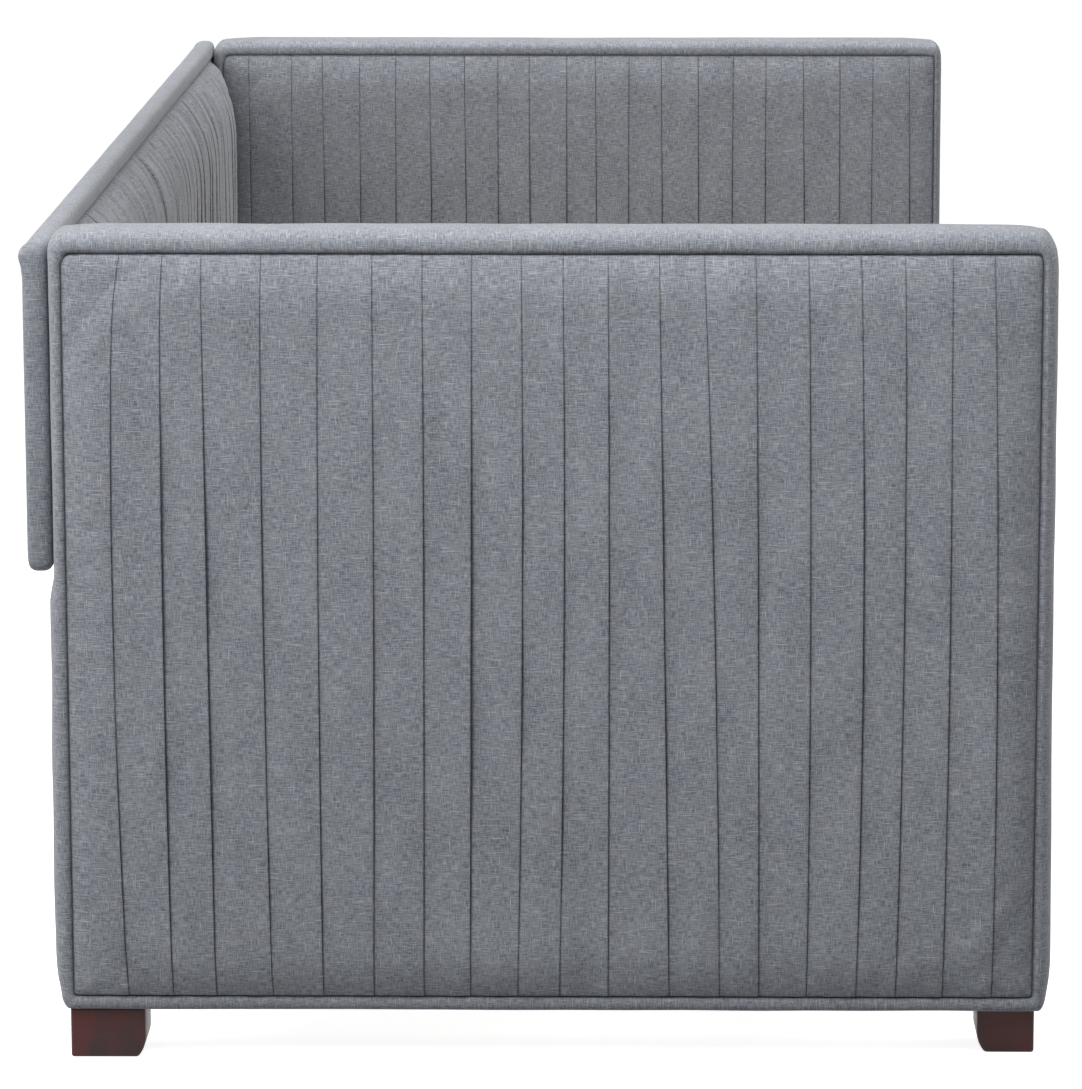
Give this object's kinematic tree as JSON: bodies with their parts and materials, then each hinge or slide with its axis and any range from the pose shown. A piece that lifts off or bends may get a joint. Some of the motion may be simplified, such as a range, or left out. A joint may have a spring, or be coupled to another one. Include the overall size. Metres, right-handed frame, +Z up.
{
  "type": "daybed",
  "caption": "Upholstered twin daybed with pleated end arms, a low pleated back bolted behind them, a slatted base and dark block feet.",
  "frame": {"origin": "on the floor, at the middle of the overall footprint", "axes": "+X along the bed to the right arm as seen from the open front, +Y towards the back, +Z up"},
  "size_m": [2.15, 1.098, 0.904],
  "materials": {
    "upholstery_fabric": "heathered blue-grey linen-look weave, sewn in knife pleats",
    "dust_cloth": "black non-woven cambric",
    "pine": "planed softwood, unfinished",
    "slat_wood": "planed softwood slats, unfinished",
    "plywood": "thin ply sheet, unfinished",
    "espresso_wood": "dark red-brown stain under satin lacquer",
    "zinc_steel": "zinc plated",
    "black_steel": "black powder coat",
    "nylon": "moulded nylon",
    "strap_webbing": "woven cotton tape"
  },
  "bodies": {
    "root": {"left_arm_frame": "pine", "right_arm_frame": "pine", "left_arm_outer_board": "plywood", "right_arm_outer_board": "plywood", "left_arm_inner_board": "plywood", "right_arm_inner_board": "plywood", "left_arm_border": "upholstery_fabric", "right_arm_border": "upholstery_fabric", "left_arm_outer_pad": "upholstery_fabric", "right_arm_outer_pad": "upholstery_fabric", "left_arm_inner_pad": "upholstery_fabric", "right_arm_inner_pad": "upholstery_fabric", "left_arm_dust_cover": "dust_cloth", "right_arm_dust_cover": "dust_cloth", "left_arm_inserts": "zinc_steel", "right_arm_inserts": "zinc_steel", "front_left_foot": "espresso_wood", "front_right_foot": "espresso_wood", "rear_left_foot": "espresso_wood", "rear_right_foot": "espresso_wood", "foot_hanger_bolts": "zinc_steel", "back_frame": "pine", "back_board": "plywood", "back_pad": "upholstery_fabric", "back_border": "upholstery_fabric", "back_rear_cover": "upholstery_fabric", "back_bolts": "zinc_steel", "back_washers": "zinc_steel", "front_rail_board": "pine", "front_rail_cover": "upholstery_fabric", "front_ledger": "pine", "rear_rail_board": "pine", "rear_rail_cover": "upholstery_fabric", "rear_ledger": "pine", "rail_brackets": "black_steel", "bracket_bolts": "zinc_steel", "bracket_screws": "zinc_steel", "ledger_screws": "zinc_steel", "centre_rail": "pine", "centre_rail_brackets": "black_steel", "left_centre_leg": "pine", "right_centre_leg": "pine", "centre_leg_hanger_bolts": "zinc_steel", "centre_leg_glides": "nylon", "slat_straps": "strap_webbing", "slat_screws": "zinc_steel", "slat_1": "slat_wood", "slat_2": "slat_wood", "slat_3": "slat_wood", "slat_4": "slat_wood", "slat_5": "slat_wood", "slat_6": "slat_wood", "slat_7": "slat_wood", "slat_8": "slat_wood", "slat_9": "slat_wood", "slat_10": "slat_wood", "slat_11": "slat_wood", "slat_12": "slat_wood"}
  },
  "joints": []
}
